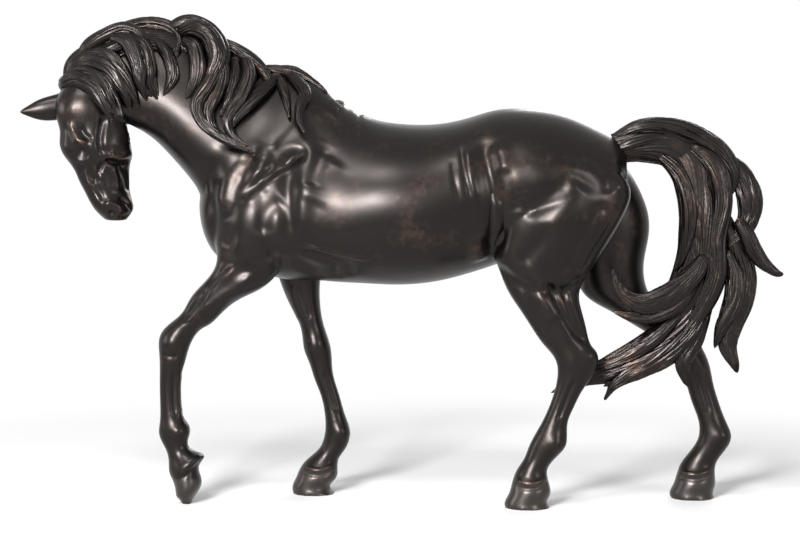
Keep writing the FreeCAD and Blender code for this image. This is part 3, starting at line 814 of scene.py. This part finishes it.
# ---------------------------------------------------------------- hair
# A node's hair is one or more locks. Each follows x, y, z, half width and half thickness in
# millimetres from root to tip, and turns by `twist` on its way.

MANE = {
    "mane_crest_front": [
        (0.5, [(-240, -12, 306, 6, 7), (-232, -12, 318, 11, 12), (-212, -11, 326, 13, 15),
               (-188, -9, 333, 13, 15), (-166, -7, 332, 12, 13), (-148, -6, 326, 7, 8)]),
        (-0.6, [(-232, -14, 322, 4, 5), (-224, -18, 332, 6, 6), (-211, -18, 340, 6, 7),
                (-199, -17, 344, 6, 7), (-188, -19, 339, 6, 6), (-182, -24, 326, 6, 5),
                (-180, -27, 314, 5, 5), (-182, -29, 303, 4, 4), (-175, -29, 294, 1, 1.5)]),
        (0.8, [(-214, -4, 338, 4, 5), (-198, -6, 345, 6, 7), (-182, -6, 348, 6, 7),
               (-168, -8, 345, 6, 6), (-160, -12, 336, 5, 5), (-162, -20, 322, 3, 3)]),
        (-0.7, [(-226, 0, 326, 4, 5), (-208, 4, 334, 7, 6), (-188, 8, 334, 8, 6),
                (-170, 11, 326, 7, 5), (-156, 13, 314, 2, 2)])],
    "mane_crest_rear": [
        (0.5, [(-172, -6, 332, 7, 10), (-150, -5, 330, 11, 13), (-132, -4, 320, 11, 12),
               (-112, -2, 307, 9, 10), (-94, -1, 301, 6, 7), (-72, 0, 303, 4, 5),
               (-56, 0, 300, 1, 2)]),
        (0.9, [(-170, -8, 343, 4, 5), (-156, -9, 349, 6, 6), (-142, -9, 346, 6, 6),
               (-131, -12, 336, 6, 5), (-126, -17, 322, 5, 4), (-128, -22, 308, 2, 2)]),
        (-0.8, [(-134, -2, 336, 4, 5), (-120, -4, 329, 6, 6), (-106, -8, 320, 6, 5),
                (-96, -13, 310, 4, 4), (-92, -18, 299, 1.5, 2)]),
        (0.6, [(-104, -1, 316, 3, 4), (-90, 0, 314, 5, 5), (-76, 0, 312, 5, 4),
               (-62, -3, 305, 3, 3), (-52, -6, 298, 1, 1)])],
    "forelock": [
        (0.6, [(-243, -6, 306, 5, 5), (-241, -18, 305, 7, 6), (-230, -26, 308, 8, 6),
               (-218, -31, 303, 8, 6), (-210, -34, 292, 6, 5), (-204, -35, 277, 1, 1.5)]),
        (-0.7, [(-238, -4, 312, 4, 5), (-234, -17, 313, 5, 6), (-222, -28, 313, 6, 5),
                (-209, -34, 305, 5, 5), (-203, -36, 292, 4, 4), (-197, -35, 282, 1, 1)])],
    "cheek_lock": [
        (0.7, [(-234, -16, 318, 5, 5), (-222, -25, 320, 7, 6), (-207, -31, 315, 7, 6),
               (-197, -33, 301, 6, 5), (-192, -33, 285, 1, 1.5)]),
        (-0.8, [(-226, -20, 326, 4, 4), (-211, -27, 325, 6, 5), (-199, -31, 314, 6, 5),
                (-191, -33, 300, 4, 4), (-186, -32, 288, 1, 1.2)])],
    "poll_lock": [
        (0.8, [(-208, -20, 338, 4, 5), (-194, -26, 334, 7, 6), (-186, -30, 320, 7, 6),
               (-184, -31, 305, 5, 5), (-180, -30, 292, 1, 1.5)]),
        (-0.6, [(-198, -20, 340, 4, 4), (-183, -26, 332, 5, 5), (-178, -29, 315, 5, 5),
                (-177, -30, 303, 3, 3), (-171, -29, 290, 1, 1)])],
    "loop_lock": [
        (0.9, [(-176, -17, 337, 4, 4), (-166, -23, 325, 5, 5), (-162, -27, 311, 5, 4),
               (-166, -28, 300, 3, 3), (-173, -28, 291, 1, 1)]),
        (-0.9, [(-182, -19, 332, 3, 4), (-178, -26, 318, 4, 4), (-176, -29, 304, 4, 3),
                (-171, -29, 293, 1, 1)])],
    "crest_lock": [
        (0.8, [(-160, -10, 342, 4, 5), (-148, -16, 345, 7, 7), (-136, -20, 339, 7, 7),
               (-130, -24, 325, 7, 6), (-134, -27, 310, 5, 5), (-141, -29, 296, 1, 1.5)]),
        (-0.7, [(-156, -16, 336, 4, 4), (-147, -22, 331, 6, 5), (-144, -26, 316, 6, 5),
                (-148, -28, 301, 4, 3), (-155, -28, 290, 1, 1)])],
    "long_lock": [
        (0.9, [(-132, -17, 332, 4, 4), (-130, -23, 318, 6, 6), (-136, -28, 304, 6, 6),
               (-143, -31, 291, 6, 5), (-139, -34, 278, 5, 5), (-129, -37, 269, 4, 4),
               (-116, -39, 262, 3, 3), (-101, -41, 255, 1, 1)]),
        (-0.8, [(-128, -18, 326, 3, 4), (-125, -24, 312, 5, 5), (-129, -29, 298, 5, 5),
                (-135, -33, 285, 5, 4), (-132, -36, 273, 4, 3), (-122, -38, 266, 1, 1)])],
    "curled_lock": [
        (0.9, [(-112, -12, 325, 4, 5), (-108, -21, 311, 6, 6), (-112, -28, 297, 6, 6),
               (-119, -33, 285, 5, 5), (-121, -36, 276, 4, 4), (-116, -38, 266, 3, 3),
               (-105, -41, 260, 1, 1)]),
        (-0.9, [(-119, -13, 324, 3, 4), (-117, -22, 309, 5, 5), (-121, -29, 294, 4, 4),
                (-127, -33, 281, 1, 1)])],
    "cross_lock": [
        (0.8, [(-88, -7, 311, 4, 4), (-96, -18, 301, 5, 5), (-106, -27, 291, 5, 4),
               (-114, -33, 281, 3, 3), (-119, -36, 272, 1, 1)]),
        (-0.8, [(-97, -9, 310, 3, 4), (-104, -20, 299, 4, 4), (-112, -29, 288, 1, 1)])],
    "withers_lock": [
        (0.9, [(-82, -4, 313, 4, 4), (-73, -12, 305, 5, 5), (-67, -21, 297, 5, 4),
               (-70, -28, 288, 4, 4), (-70, -34, 279, 2.5, 3), (-65, -39, 269, 1, 1)]),
        (-0.8, [(-90, -5, 312, 3, 4), (-84, -15, 302, 4, 4), (-80, -24, 291, 3, 3),
                (-77, -32, 280, 1, 1)])],
}

TAIL = {
    "tail_dock": [
        (0.3, [(142, 0, 252, 8, 8), (156, 0, 258, 11, 11), (174, 0, 262, 13, 12),
               (194, 0, 260, 15, 12), (212, 0, 250, 16, 11)]),
        (-0.5, [(152, -2, 264, 3, 4), (172, -2, 273, 6, 8), (192, -2, 274, 7, 8),
                (212, -2, 268, 8, 8), (230, -2, 256, 8, 7), (240, -2, 240, 6, 5),
                (238, -2, 222, 1, 2)])],
    "tail_fall": [
        (0.5, [(190, 0, 262, 10, 9), (208, 0, 250, 16, 12), (216, 0, 230, 17, 13),
               (218, 0, 205, 16, 13), (217, 0, 178, 17, 12), (209, 0, 150, 17, 10),
               (192, -1, 124, 8, 6)]),
        (-0.6, [(186, -5, 256, 4, 5), (202, -7, 240, 7, 7), (208, -8, 218, 7, 7),
                (207, -8, 196, 6, 6), (203, -8, 178, 3, 4), (198, -8, 170, 1, 1)]),
        (0.7, [(208, -7, 262, 4, 5), (226, -8, 246, 8, 7), (232, -8, 222, 8, 7),
               (228, -9, 194, 8, 6), (228, -9, 166, 8, 6), (216, -8, 138, 6, 4),
               (200, -7, 118, 1, 1)])],
    "tail_back_lock": [
        (0.8, [(236, 2, 252, 4, 5), (246, 3, 240, 8, 7), (252, 3, 224, 9, 8),
               (252, 3, 208, 8, 7), (245, 0, 195, 6, 6), (236, -4, 187, 1, 1)]),
        (-0.6, [(232, 2, 214, 5, 6), (240, 3, 192, 8, 8), (247, 3, 170, 10, 8),
                (246, 2, 150, 10, 8), (240, 1, 132, 9, 7), (238, 0, 116, 7, 6),
                (243, -2, 102, 3.5, 4), (245, -2, 96, 1, 1)]),
        (0.9, [(236, -6, 186, 3, 4), (242, -7, 168, 6, 5), (241, -7, 148, 6, 5),
               (233, -6, 130, 5, 4), (228, -5, 114, 1, 1)])],
    "tail_flick": [
        (0.8, [(243, -4, 208, 4, 4), (250, -5, 197, 6, 5), (256, -5, 185, 6, 5),
               (264, -5, 175, 4.5, 4), (272, -5, 169, 3, 3), (277, -5, 168, 1, 1)])],
    "tail_curl": [
        (0.7, [(222, -9, 184, 4, 4), (212, -13, 168, 8, 6), (196, -16, 154, 9, 6),
               (178, -18, 147, 8, 5), (164, -18, 152, 5, 4), (157, -18, 162, 3, 3),
               (154, -18, 173, 1, 1)]),
        (-0.7, [(216, -10, 166, 4, 4), (202, -14, 148, 6, 5), (184, -16, 139, 6, 4),
                (168, -17, 138, 4, 3), (154, -17, 142, 1, 1)])],
    "tail_sweep": [
        (0.5, [(222, 0, 164, 8, 6), (212, -1, 140, 14, 8), (197, -2, 122, 15, 8),
               (178, -2, 109, 14, 7), (156, -2, 99, 11, 6), (134, -1, 91, 6, 4),
               (110, 0, 80, 1, 1)]),
        (-0.6, [(224, -6, 150, 4, 4), (209, -7, 125, 7, 5), (188, -7, 106, 7, 5),
                (168, -7, 94, 5, 4), (148, -6, 86, 1, 1)]),
        (0.6, [(205, -7, 142, 4, 4), (186, -8, 122, 6, 5), (164, -8, 108, 5, 4),
               (141, -7, 98, 3, 3), (122, -6, 92, 1, 1)])],
    "tail_under_lock": [
        (0.7, [(222, -3, 142, 5, 4), (213, -4, 121, 8, 5), (206, -5, 105, 6, 4),
               (207, -5, 93, 3.5, 3), (211, -5, 85, 1, 1)])],
    "tail_tip": [
        (0.7, [(186, -6, 106, 5, 4), (170, -7, 97, 6, 4), (157, -7, 88, 4, 3),
               (152, -7, 81, 2, 2), (149, -7, 76, 1, 1)])],
}


ROW_LENGTH = 1.9       # mm of a lock between two rings of its mesh
SIDES = 5              # points across each strand
GROOVE_DEPTH = 1.15    # shares of the Depth setting
HAIRLINE_DEPTH = 0.35
GROOVE_EDGE = 0.8      # under 1 gives a narrow valley
DEEPEST_CUT = 0.4      # share of a lock's half thickness
LIE = 0.72             # where a stray lock lies, as a share of its lock's half sizes


def run_of(path, rows):
    """A route's spine, its half sizes and the two ways across it, at even steps."""
    route = flow(np.array(path, float), rows + 1)
    spine = route[:, :3]
    tangent = unit(np.gradient(spine, axis=0))
    outward = np.tile((0.0, -1.0, 0.0), (rows + 1, 1))
    outward = unit(outward - tangent * np.sum(outward * tangent, axis=1)[:, None])
    half_width, half_thick = np.maximum(route[:, 3:5], 0.5).T
    return spine, half_width, half_thick, np.cross(tangent, outward), outward


def unit_ball(around, rows):
    """A ball that is closed at its poles, to be laid along a run."""
    bm = bmesh.new()
    bmesh.ops.create_uvsphere(bm, u_segments=around, v_segments=rows, radius=1)
    return mesh_of(bm, "ball")


def ridged_lock(bm, run, look, spread, twist):
    """One lock: a closed form laid along its run, with the strands cut into its skin."""
    spine, half_width, half_thick, across, outward = run
    rows = len(spine) - 1
    girth = 2 * math.pi * math.sqrt((half_width.max() ** 2 + half_thick.max() ** 2) / 2)
    strands = max(6, round(girth * MM / (2 * look.strand)))
    mesh = unit_ball(strands * SIDES, rows)
    ball = triples(mesh.vertices, "co")
    row = np.rint(np.arccos(np.clip(ball[:, 2], -1, 1)) / math.pi * rows).astype(int)
    angle = np.arctan2(ball[:, 1], ball[:, 0])
    time = row / rows
    start = spread.uniform(0, 2 * math.pi, 4)
    turn = (strands * (angle + twist * time + start[3])
            + look.wave * strands * 0.16 * np.sin(2 * angle + start[0] + 4 * time)
            + look.wave * strands * 0.10 * np.sin(3 * angle + start[1] - 7 * time))
    valley = 1 - np.abs(np.cos(turn / 2)) ** GROOVE_EDGE
    hairline = 1 - np.abs(np.cos(turn * 1.5 + start[2] + 5 * time)) ** GROOVE_EDGE
    deep = 0.55 + 0.45 * np.sin(angle * 2 + start[1] + 9 * time)
    slim = np.minimum(half_width, half_thick)[row]
    cut = (GROOVE_DEPTH * deep * valley + HAIRLINE_DEPTH * hairline) * look.depth / MM
    cut = np.minimum(cut, slim * DEEPEST_CUT)
    closing = np.sqrt(np.clip(np.sin(math.pi * time) * 9, 0, 1))
    side = across[row] * (np.cos(angle) * (half_width[row] - cut) * closing)[:, None]
    rise = outward[row] * (np.sin(angle) * (half_thick[row] - cut) * closing)[:, None]
    mesh.vertices.foreach_set("co", ((spine[row] + side + rise) * MM).ravel())
    bm.from_mesh(mesh)
    bpy.data.meshes.remove(mesh)


def stray_run(run, spread, look):
    """A thinner lock that lies on a lock's skin, starts later and ends in a tip of its own."""
    spine, half_width, half_thick, across, outward = run
    rows = len(spine) - 1
    first = int(rows * spread.uniform(0.0, 0.3))
    last = int(rows * spread.uniform(0.72, 1.0))
    kept = slice(first, last + 1)
    time = np.linspace(0, 1, last + 1 - first)
    around = spread.uniform(-0.15, 1.15) * math.pi + spread.uniform(-0.9, 0.9) * (time - 0.5)
    swell = np.clip(np.sin(math.pi * np.clip(time * 1.02 + 0.04, 0, 1)), 0.05, 1) ** 0.6
    share = spread.uniform(0.3, 0.46)
    place = (spine[kept] + across[kept] * (half_width[kept] * LIE * np.cos(around))[:, None]
             + outward[kept] * (half_thick[kept] * LIE * np.sin(around))[:, None])
    return (place, np.maximum(half_width[kept] * share * swell, 0.4),
            np.maximum(half_thick[kept] * (share + 0.08) * swell, 0.4),
            across[kept], outward[kept])


def lay_locks(table, look, strays):
    """Build the hair of every node in a table, with a few stray locks on each lock."""
    material = bpy.data.materials.get("bronze_hair_patina") or bronze_patina(
        "bronze_hair_patina", fine=1300.0)
    spread = np.random.default_rng(look.seed)
    for name, locks in table.items():
        bm = bmesh.new()
        for twist, path in locks:
            points = np.array(path, float)[:, :3]
            length = np.linalg.norm(np.diff(points, axis=0), axis=1).sum()
            run = run_of(path, max(24, round(length / ROW_LENGTH)))
            ridged_lock(bm, run, look, spread, twist)
            for _ in range(strays):
                ridged_lock(bm, stray_run(run, spread, look), look, spread, twist * 1.4)
        bmesh.ops.recalc_face_normals(bm, faces=bm.faces)
        mesh = mesh_of(bm, name + "_hair")
        shade_smooth(mesh)
        keep_relief(mesh, 1.6, 2)
        bronze_piece(name + "_hair", mesh, material, name)


class STATUETTE_OT_mane(bpy.types.Operator):
    """Lay the locks of the mane and forelock"""
    bl_idname = "statuette.mane"
    bl_label = "Mane"

    def execute(self, context):
        lay_locks(MANE, context.scene.statuette_hair, 2)
        return {"FINISHED"}


class STATUETTE_OT_tail(bpy.types.Operator):
    """Lay the locks of the tail"""
    bl_idname = "statuette.tail"
    bl_label = "Tail"

    def execute(self, context):
        lay_locks(TAIL, context.scene.statuette_hair, 4)
        return {"FINISHED"}


# ---------------------------------------------------------------- ears and hidden metal

EARS = {
    "right_ear": [(-222, -9, 297, 7, 5), (-234, -11, 292.5, 10, 6.5), (-247, -14, 288.5, 9.5, 6),
                  (-261, -18, 286, 7.5, 4.5), (-275, -22, 284.5, 0.8, 0.8)],
    "left_ear": [(-217, -22, 303, 6, 4.5), (-211, -31, 298, 8.5, 5), (-204, -37, 291, 7.5, 4.5),
                 (-195, -41, 280, 0.8, 0.8)],
}


def ear_shell(name, path):
    """A leaf-shaped ear laid along its path, with the mouth pressed into its outer side."""
    rows, around = 30, 32
    mouth_depth = 1.55
    route = flow(np.array(path, float), rows + 1)
    tangent = unit(np.gradient(route[:, :3], axis=0))
    outward = unit(np.cross(tangent, (0.0, 0.0, 1.0)))
    upward = np.cross(outward, tangent)
    bm = bmesh.new()
    bmesh.ops.create_uvsphere(bm, u_segments=around, v_segments=rows, radius=1)
    for vert in bm.verts:
        row = round(math.acos(max(-1.0, min(1.0, vert.co.z))) / math.pi * rows)
        angle = math.atan2(vert.co.y, vert.co.x)
        centre, wide, thick = route[row, :3], route[row, 3], route[row, 4]
        ends = 0.0 if row in (0, rows) else 1.0
        deep = math.sin(math.pi * min(row / rows * 1.1, 1)) ** 0.5
        mouth = max(0.0, math.sin(angle)) ** 4 * deep * mouth_depth
        spoke = upward[row] * wide * math.cos(angle) * ends
        bulge = outward[row] * thick * (math.sin(angle) - mouth) * ends
        vert.co = Vector((centre + spoke + bulge) * MM)
    bmesh.ops.recalc_face_normals(bm, faces=bm.faces)
    mesh = mesh_of(bm, name + "_shell")
    shade_smooth(mesh)
    keep_relief(mesh, 1.0, 2)
    return mesh


class STATUETTE_OT_ears(bpy.types.Operator):
    """Model the two ears"""
    bl_idname = "statuette.ears"
    bl_label = "Ears"

    def execute(self, context):
        for name, path in EARS.items():
            bronze_piece(name + "_shell", ear_shell(name, path),
                         bpy.data.materials["bronze_patina"], name)
        return {"FINISHED"}


# The left eye's middle and its half sizes along the nose, outwards and upwards (mm).
EYE_PLACE = (-226.0, -29.6, 256.2)
EYE_SIZE = (3.4, 2.6, 2.6)


def eye_place(side):
    """Where an eye sits, found on the left cheek and mirrored for the right."""
    top, _, left = head_frame()
    spot = np.array(EYE_PLACE) * MM
    if side < 0:
        spot = spot - left * 2 * ((spot - top) @ left)
    return spot


class STATUETTE_OT_eyes(bpy.types.Operator):
    """Set the eyeballs into their sockets"""
    bl_idname = "statuette.eyes"
    bl_label = "Eyes"

    def execute(self, context):
        bm = bmesh.new()
        _, nose, left = head_frame()
        for side in (1, -1):
            centre = eye_place(side)
            turn = Matrix((nose, left * side, (0, 0, 1))).transposed().to_4x4()
            squash = Matrix.Diagonal((*(half * MM for half in EYE_SIZE), 1))
            place = Matrix.Translation(centre) @ turn @ squash
            bmesh.ops.create_uvsphere(bm, u_segments=24, v_segments=16, radius=1, matrix=place)
        bmesh.ops.recalc_face_normals(bm, faces=bm.faces)
        mesh = mesh_of(bm, "eyes")
        shade_smooth(mesh)
        keep_relief(mesh)
        bronze_piece("eyes", mesh, bpy.data.materials["bronze_patina"])
        return {"FINISHED"}


RAW_PALE = (0.42, 0.26, 0.12, 1)
RAW_DEEP = (0.30, 0.18, 0.09, 1)


class STATUETTE_OT_inner(bpy.types.Operator):
    """Give the sleeves, pins and plugs inside a raw bronze"""
    bl_idname = "statuette.inner"
    bl_label = "Inner Metal"

    def execute(self, context):
        paint = Paint("raw_bronze")
        cloud = paint.noise(120.0)
        paint.to_shader("Base Color", paint.blend(cloud, RAW_PALE, RAW_DEEP))
        paint.to_shader("Metallic", 0.9)
        paint.to_shader("Roughness", 0.45 + cloud * 0.2)
        for name in INNER:
            mesh = frame["nodes"][name].data
            if not mesh.materials:
                mesh.materials.append(paint.material)
            for index in range(len(mesh.materials)):
                mesh.materials[index] = paint.material
        return {"FINISHED"}


# ---------------------------------------------------------------- stage


# Each lamp's place, the point it faces, its width and height (m) and its power (W).
LAMPS = {
    "key": ((-0.50, -1.60, 0.66), (0, 0, 0.2), (0.40, 0.28), 50),
    "high": ((-0.35, -0.9, 1.35), (0, 0, 0.2), (0.40, 0.28), 9),
    "fill": ((1.3, -1.3, 0.5), (0.05, 0, 0.2), (0.30, 0.45), 8),
    "rim": ((0.5, 1.2, 0.8), (0, 0, 0.2), (0.9, 0.4), 7),
    "front": ((-1.4, -0.4, 0.45), (-0.1, 0, 0.2), (0.35, 0.5), 5),
}
AIM = (0, 0, 0.172)
WHITE = (1, 1, 1, 1)
SKY_LIGHT = 0.22
FLOOR_FADE = (0.32, 0.62)
FLOOR_GREY = (0.86, 0.86, 0.86, 1)


def soft_lamp(name, place, aim, size, power):
    """A rectangular lamp, turned to face a point."""
    lamp = bpy.data.lights.new(name, "AREA")
    lamp.shape = "RECTANGLE"
    lamp.size, lamp.size_y = size
    lamp.energy = power
    holder = bpy.data.objects.new(name, lamp)
    bpy.context.scene.collection.objects.link(holder)
    holder.location = place
    holder.rotation_euler = (Vector(aim) - Vector(place)).to_track_quat("-Z", "Y").to_euler()


class STATUETTE_OT_stage(bpy.types.Operator):
    """Set the floor, the lamps and the camera"""
    bl_idname = "statuette.stage"
    bl_label = "Stage"

    def execute(self, context):
        look = context.scene.statuette_stage
        self.floor()
        self.sky(context.scene)
        for name, (place, aim, size, power) in LAMPS.items():
            soft_lamp(name, place, aim, size, power)
        camera = bpy.data.cameras.new("view")
        camera.lens = look.lens
        holder = bpy.data.objects.new("view", camera)
        context.scene.collection.objects.link(holder)
        away = Vector((math.sin(look.azimuth) * math.cos(look.elevation),
                       -math.cos(look.azimuth) * math.cos(look.elevation),
                       math.sin(look.elevation)))
        holder.location = Vector(AIM) + away * look.distance
        holder.rotation_euler = (-away).to_track_quat("-Z", "Y").to_euler()
        context.scene.camera = holder
        context.scene.view_settings.view_transform = "Standard"
        return {"FINISHED"}

    def floor(self):
        """A pale floor that keeps the shadow near the hooves and turns white further out."""
        bm = bmesh.new()
        bmesh.ops.create_grid(bm, x_segments=1, y_segments=1, size=6)
        mesh = mesh_of(bm, "floor")
        paint = Paint("floor_white")
        paint.to_shader("Base Color", FLOOR_GREY)
        paint.to_shader("Roughness", 0.8)
        seen = paint.node("ShaderNodeLightPath", {})
        rays = paint.signal(seen.outputs["Is Camera Ray"])
        rays = rays + paint.signal(seen.outputs["Is Glossy Ray"])
        reach = paint.node("ShaderNodeVectorMath", {"operation": "LENGTH"}, paint.coords)
        far = paint.ramp(paint.signal(reach.outputs["Value"]), *FLOOR_FADE)
        white = paint.node("ShaderNodeEmission", {}, WHITE, 1.0)
        mixed = paint.node("ShaderNodeMixShader", {}, rays * far,
                           paint.shader.outputs[0], white.outputs[0])
        paint.tree.links.new(mixed.outputs[0], paint.tree.nodes["Material Output"].inputs[0])
        mesh.materials.append(paint.material)
        new_object("floor", mesh)

    def sky(self, scene):
        """A studio that looks white, and lights the horse more faintly."""
        world = bpy.data.worlds.new("studio")
        scene.world = world
        world.use_nodes = True
        tree = world.node_tree
        seen = tree.nodes.new("ShaderNodeLightPath")
        bright = seen.outputs["Is Camera Ray"]
        for ray in ("Is Glossy Ray", "Is Transmission Ray"):
            either = tree.nodes.new("ShaderNodeMath")
            either.operation = "MAXIMUM"
            tree.links.new(bright, either.inputs[0])
            tree.links.new(seen.outputs[ray], either.inputs[1])
            bright = either.outputs[0]
        scale = tree.nodes.new("ShaderNodeMapRange")
        tree.links.new(bright, scale.inputs[0])
        scale.inputs["To Min"].default_value = SKY_LIGHT
        back = tree.nodes["Background"]
        back.inputs["Color"].default_value = WHITE
        tree.links.new(scale.outputs[0], back.inputs["Strength"])


class STATUETTE_PT_panel(bpy.types.Panel):
    """Steps of the statuette"""
    bl_idname = "STATUETTE_PT_panel"
    bl_label = "Statuette"
    bl_space_type = "VIEW_3D"
    bl_region_type = "UI"
    bl_category = "Statuette"

    def draw(self, context):
        for step in STEPS:
            self.layout.operator(step.bl_idname)
        for name in SETTINGS:
            group = getattr(context.scene, name)
            for key in group.__annotations__:
                self.layout.prop(group, key)


SETTINGS = {
    "statuette_body": StatuetteBody,
    "statuette_hair": StatuetteHair,
    "statuette_patina": StatuettePatina,
    "statuette_stage": StatuetteStage,
}
STEPS = (STATUETTE_OT_castings, STATUETTE_OT_mane, STATUETTE_OT_tail, STATUETTE_OT_ears,
         STATUETTE_OT_eyes, STATUETTE_OT_inner, STATUETTE_OT_stage)


def register():
    for item in (*SETTINGS.values(), *STEPS, STATUETTE_PT_panel):
        bpy.utils.register_class(item)
    for name, group in SETTINGS.items():
        setattr(bpy.types.Scene, name, PointerProperty(type=group))


def unregister():
    for name in SETTINGS:
        delattr(bpy.types.Scene, name)
    for item in (STATUETTE_PT_panel, *STEPS, *SETTINGS.values()):
        bpy.utils.unregister_class(item)


def main():
    register()
    bpy.ops.statuette.castings()
    bpy.ops.statuette.mane()
    bpy.ops.statuette.tail()
    bpy.ops.statuette.ears()
    bpy.ops.statuette.eyes()
    bpy.ops.statuette.inner()
    bpy.ops.statuette.stage()


if __name__ == "__main__":
    main()
